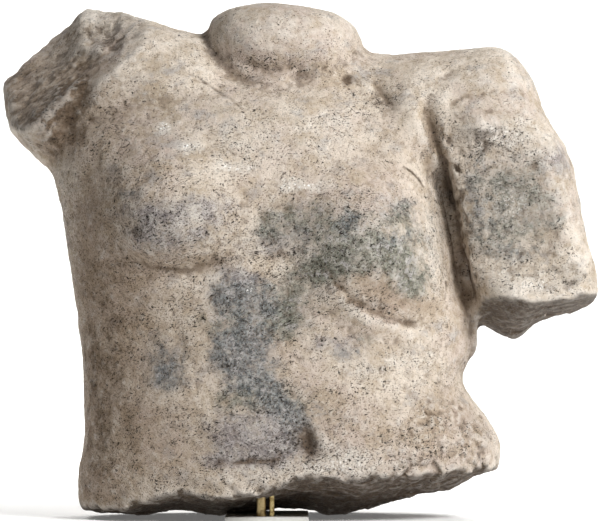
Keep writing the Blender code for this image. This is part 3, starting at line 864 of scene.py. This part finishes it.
spot = marble.node("ShaderNodeSeparateXYZ", {"Vector": marble.place}).outputs
sideways = marble.between(spot["X"], RASP_FROM_X, RASP_FULL_X)
lower = marble.between(spot["Z"], RASP_FROM_Z, RASP_FULL_Z)
rasped = marble.noise(1.0, 3, 0.7, marble.slanted(40, 0.0026, 0.0006))
rasped = marble.between(rasped, 0.50, 0.39)
rasped = marble.sum("MULTIPLY", marble.sum("MULTIPLY", sideways, lower), rasped)
colour = marble.mix(rasped, colour, EARTH)
print("with rasp marks", len(marble.tree.nodes), "nodes")

# %% Stains over the stone, with a brown wash of painted shade and pale patches that are partly painted highlight
TINTS = {  # deep, pale, and how strongly each covers the stone
    "pale": (srgb(206, 196, 183), srgb(236, 230, 221), 0.75),
    "lavender": (srgb(104, 97, 103), srgb(176, 170, 170), 0.75),
    "green": (srgb(60, 67, 56), srgb(138, 141, 127), 0.85),
    "blue": (srgb(56, 63, 70), srgb(138, 142, 143), 0.85),
    # This brown tint goes on dirt and on painted shade alike.
    "dirt_and_shade": (srgb(66, 52, 40), srgb(112, 92, 72), 0.9),
}
# The brown of the wash of painted shade.
SHADE_WASH_BROWN = srgb(146, 125, 103)
VEIL_GREY = srgb(134, 130, 123)
BLEACHED_GREY = srgb(184, 179, 176)
VEIN_BROWN = srgb(58, 54, 50)

blue_part, green_part, lavender_part = marble.attribute("stains")
# These hold the hollows, where dirt and painted shade lie, dirt with painted shade, and pale patches
# with painted highlight.
hollow_part, dirt_and_shade_part, pale_and_highlight_part = marble.attribute("dirt_shade_and_pale")
pitted_part, painted_shade_part, shade_wash_part = marble.attribute("pitted")
blotches = marble.noise(120, 5, 0.68)
gaps = marble.noise(380, 4, 0.72)
clouds = marble.noise(250, 4, 0.66, marble.stretched(1.0, 1.0, 1.4))
speckle = marble.noise(1100, 2, 0.7)
paler = marble.between(clouds, 0.42, 0.60, 0.0, 0.5)
finer = marble.between(marble.noise(640, 3, 0.7), 0.43, 0.59, -0.1, 0.6)


def stain(base, cover, deep, pale, strength):
    """Lays a tint, deep in some clouds and pale in others. Blotches and gaps break its edge."""
    ragged = marble.sum("MULTIPLY", marble.sum("SUBTRACT", blotches, 0.5), 2.2)
    ragged = marble.sum("ADD", ragged, marble.sum("MULTIPLY", marble.sum("SUBTRACT", gaps, 0.5), 1.0))
    cover = marble.sum("ADD", cover, marble.sum("MULTIPLY", ragged, marble.between(cover, 0.0, 0.35)))
    tint = marble.mix(marble.sum("ADD", paler, finer), deep, pale)
    share = marble.between(cover, 0.10, 0.90, 0.0, strength)
    share = marble.sum("MULTIPLY", share, marble.between(speckle, 0.68, 0.42, 0.65, 1.0))
    return marble.mix(share, base, tint)


stained = marble.sum("MAXIMUM", blue_part, green_part)
stained = marble.sum("MAXIMUM", stained, lavender_part)
# The brown wash of painted shade, broken up by blotches.
shade_washed = marble.sum("MULTIPLY", shade_wash_part, marble.between(blotches, 0.34, 0.60, 0.5, 0.9))
colour = marble.mix(shade_washed, colour, SHADE_WASH_BROWN)
# Pale patches, partly painted highlight.
colour = stain(colour, pale_and_highlight_part, *TINTS["pale"])
colour = marble.mix(marble.between(stained, 0.02, 0.8, 0.0, 0.38), colour, VEIL_GREY)
colour = stain(colour, lavender_part, *TINTS["lavender"])
colour = stain(colour, green_part, *TINTS["green"])
colour = stain(colour, blue_part, *TINTS["blue"])
print("stained", len(marble.tree.nodes), "nodes")

# %% Bleached crystals and fine dark veins inside the stains
bleached = marble.between(marble.noise(260, 4, 0.7), 0.52, 0.64, 0.0, 0.75)
colour = marble.mix(marble.sum("MULTIPLY", stained, bleached), colour, BLEACHED_GREY)
vein = marble.sum("ABSOLUTE", marble.sum("SUBTRACT", marble.noise(170, 4, 0.7), 0.5), 0.0)
vein = marble.between(vein, 0.016, 0.0, 0.0, 0.45)
colour = marble.mix(marble.sum("MULTIPLY", stained, vein), colour, VEIN_BROWN)
print("veined", len(marble.tree.nodes), "nodes")

# %% Bright crystals in the pale patches, then dirt, painted shade and paler raised points
CRYSTAL_WHITE = srgb(252, 250, 246)

# Crystals show only in the pale patches, which are partly painted highlight.
crystals = marble.between(marble.noise(900, 2, 0.6), 0.56, 0.60)
crystals = marble.sum("MULTIPLY", crystals, marble.between(pale_and_highlight_part, 0.55, 0.9))
colour = marble.mix(crystals, colour, CRYSTAL_WHITE)
# Dirt, and painted shade under the edges, in one brown tint.
colour = stain(colour, dirt_and_shade_part, *TINTS["dirt_and_shade"])
# Painted shade in the folds and dirt in the chips darken the hollows; raised points are painted paler.
colour = marble.mix(marble.between(hollow_part, 0.5, 1.0, 0.0, 0.65), colour, EARTH)
colour = marble.mix(marble.between(hollow_part, 0.45, 0.0, 0.0, 0.35), colour, WHITE)
print("darkened", len(marble.tree.nodes), "nodes")

# %% The dark pits: fine specks, slanted dashes and round pits, then painted shade under the edges
SPECK_BROWN, DASH_BROWN = srgb(90, 73, 56), srgb(52, 42, 33)
PIT_BROWN, PAINTED_SHADE_BROWN = srgb(36, 29, 24), srgb(46, 38, 31)

clusters = marble.between(marble.noise(120, 4, 0.7), 0.36, 0.64)
clusters = marble.sum("MULTIPLY", clusters, 0.5)
clusters = marble.sum("ADD", clusters, marble.sum("MULTIPLY", pitted_part, 0.6))


def pits_of(place, scale, few, many):
    """Specks from the peaks of a noise. A lower edge lets more of them through in the clusters."""
    edge = marble.between(clusters, 0.0, 1.0, few, many)
    peaks = marble.sum("SUBTRACT", marble.noise(scale, 2, 0.6, place), edge)
    return marble.between(peaks, 0.0, 0.03)


specks = pits_of(upright, 1500, 0.64, 0.565)
dashes = pits_of(marble.slanted(-28, 0.0016, 0.0006), 1.0, 0.69, 0.59)
pits = pits_of(marble.stretched(1.0, 1.0, 1.3), 760, 0.70, 0.61)
colour = marble.mix(marble.sum("MULTIPLY", specks, 0.65), colour, SPECK_BROWN)
colour = marble.mix(marble.sum("MULTIPLY", dashes, 0.85), colour, DASH_BROWN)
colour = marble.mix(marble.sum("MULTIPLY", pits, 0.95), colour, PIT_BROWN)
# Painted shade: dark brown under the edges and in the furrow and hollows.
colour = marble.mix(marble.sum("MULTIPLY", painted_shade_part, 0.6), colour, PAINTED_SHADE_BROWN)
marble.put(marble.shader.inputs["Base Color"], colour)
print("pitted", len(marble.tree.nodes), "nodes")

# %% Roughness, and a relief too fine for the mesh
shine = marble.between(marble.cell_colours(800), 0.0, 1.0, 0.65, 0.95)
marble.put(marble.shader.inputs["Roughness"], shine)
marble.shader.inputs["Specular IOR Level"].default_value = 0.3

height = marble.sum("MULTIPLY", fine, 0.6)
height = marble.sum("ADD", height, marble.sum("MULTIPLY", grain, 0.25))
height = marble.sum("SUBTRACT", height, marble.sum("MULTIPLY", pits, 0.6))
height = marble.sum("SUBTRACT", height, marble.sum("MULTIPLY", dashes, 0.4))
height = marble.sum("SUBTRACT", height, marble.sum("MULTIPLY", specks, 0.3))
marble.relief(height, 0.0010, 0.9)
stone.data.materials.append(marble.material)
print("marble", len(marble.tree.nodes), "nodes")

# %% [markdown]
# ## The pins and the plate
# The two brass rods and the painted plate are plain enough in the CAD model. They keep its shapes
# and only get their finishes: drawn brass has fine lines along it and dulls to brown, and brushed
# paint is slightly uneven.

# %% Brass and paint
def brass(name, base, dull):
    """Drawn rod: fine lines along it, and tarnish in blotches."""
    metal = Finish(name)
    lines = metal.noise(1.0, 4, 0.6, metal.stretched(2600, 2600, 90))
    tarnish = metal.between(metal.noise(320, 4, 0.65), 0.42, 0.66)
    metal.put(metal.shader.inputs["Base Color"], metal.mix(tarnish, base, dull))
    metal.shader.inputs["Metallic"].default_value = 1.0
    metal.put(metal.shader.inputs["Roughness"], metal.between(tarnish, 0.0, 1.0, 0.28, 0.5))
    metal.relief(lines, 0.00004)
    return metal.material


def finish_node(node, material):
    """Gives a CAD piece its finish. Its mesh isn't touched."""
    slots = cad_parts[node].material_slots
    for slot in slots:
        slot.material = material
    if not slots:
        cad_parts[node].data.materials.append(material)


DULL_BRASS = srgb(200, 178, 132), srgb(150, 126, 84)
BRIGHT_BRASS = srgb(226, 206, 150), srgb(168, 140, 88)
PALE_PAINT = srgb(226, 224, 220), srgb(214, 212, 206)

finish_node("thick_pin", brass("dull_brass", *DULL_BRASS))
finish_node("thin_pin", brass("bright_brass", *BRIGHT_BRASS))
paint = Finish("pale_paint")
paint.put(paint.shader.inputs["Base Color"], paint.mix(paint.noise(60, 3), *PALE_PAINT))
paint.shader.inputs["Roughness"].default_value = 0.55
paint.relief(paint.noise(1500, 2), 0.00005)
finish_node("mount_plate", paint.material)
print("finished two pins and a plate")

# %% [markdown]
# ## Floor and light
# A pale sheet runs under the torso and curves up behind it. One large soft lamp from the right,
# above and in front models the forms, and a weak one fills the shadows. Two lamps behind the
# torso light the floor at its sides, and two more the sheet behind it. The sheet glows a little
# too, so that it stays as pale as the photograph's ground without a brighter key.

# %% The pale sheet
FLOOR_HALF_WIDTH, FLOOR_FRONT, FLOOR_BACK = 1.8, -1.8, 1.9
SWEEP_RADIUS, SWEEP_HEIGHT, SWEEP_STEPS = 0.8, 2.4, 12

bpy.ops.object.select_all(action="DESELECT")
bpy.ops.mesh.primitive_plane_add(size=1.0, location=(0, 0, 0))
floor = bpy.context.object
floor.name = "pale_sheet"
profile = [(FLOOR_FRONT, 0.0)]
for step in range(SWEEP_STEPS + 1):
    angle = math.radians(90 * step / SWEEP_STEPS)
    profile.append((FLOOR_BACK + SWEEP_RADIUS * math.sin(angle), SWEEP_RADIUS * (1 - math.cos(angle))))
profile.append((FLOOR_BACK + SWEEP_RADIUS, SWEEP_HEIGHT))
points = [(x, y, z) for y, z in profile for x in (-FLOOR_HALF_WIDTH, FLOOR_HALF_WIDTH)]
faces = [(2 * i, 2 * i + 1, 2 * i + 3, 2 * i + 2) for i in range(len(profile) - 1)]
floor.data.clear_geometry()
floor.data.from_pydata(points, [], faces)
floor.data.shade_smooth()
sheet = Finish("pale_sheet")
sheet.shader.inputs["Base Color"].default_value = srgb(246, 246, 245)
sheet.shader.inputs["Roughness"].default_value = 0.9
sheet.shader.inputs["Emission Color"].default_value = (1, 1, 1, 1)
sheet.shader.inputs["Emission Strength"].default_value = 0.12
floor.data.materials.append(sheet.material)
print("sheet of", len(faces), "faces")


# %% The lamps
def lamp(name, place, size, power, aim=AIM, spread=180):
    """A round soft lamp: its size in metres, its power in watts and its spread in degrees."""
    data = bpy.data.lights.new(name, "AREA")
    data.shape = "DISK"
    data.size = size
    data.energy = power
    data.spread = math.radians(spread)
    made = bpy.data.objects.new(name, data)
    bpy.context.scene.collection.objects.link(made)
    made.location = place
    made.rotation_euler = (Vector(aim) - Vector(place)).to_track_quat("-Z", "Y").to_euler()


lamp("key", (0.99, -1.06, 1.05), 0.7, 35)
lamp("fill", (0.1, -1.7, 0.5), 1.0, 0.4)
lamp("floor left", (-0.7, 0.9, 1.0), 0.5, 4, aim=(-0.4, 0.6, 0.0), spread=70)
lamp("floor right", (0.7, 0.9, 1.0), 0.5, 4, aim=(0.4, 0.6, 0.0), spread=70)
lamp("backdrop left", (-1.0, 1.0, 0.9), 0.8, 26, aim=(-0.4, 2.6, 0.3))
lamp("backdrop right", (1.0, 1.0, 0.9), 0.8, 26, aim=(0.4, 2.6, 0.3))
print(len(bpy.data.lights), "lamps")

# %% A room that looks white and adds only a little light
SEEN_WHITE, ROOM_LIGHT = 1.0, 0.04

world = bpy.data.worlds.new("room")
world.use_nodes = True
room = world.node_tree.nodes["Background"]
room.inputs["Color"].default_value = (1, 1, 1, 1)
ray = world.node_tree.nodes.new("ShaderNodeLightPath")
dimmed = world.node_tree.nodes.new("ShaderNodeMapRange")
dimmed.inputs["To Min"].default_value = ROOM_LIGHT
dimmed.inputs["To Max"].default_value = SEEN_WHITE
world.node_tree.links.new(ray.outputs["Is Camera Ray"], dimmed.inputs["Value"])
world.node_tree.links.new(dimmed.outputs["Result"], room.inputs["Strength"])
bpy.context.scene.world = world
bpy.context.scene.view_settings.view_transform = "Standard"

# %% [markdown]
# ## Ready
# The dressed stone takes the place of the plain one and rides on the model's only body.

# %% Put the stone in its place
stone.data.shade_smooth()
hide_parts("marble_torso")
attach(stone, "root")
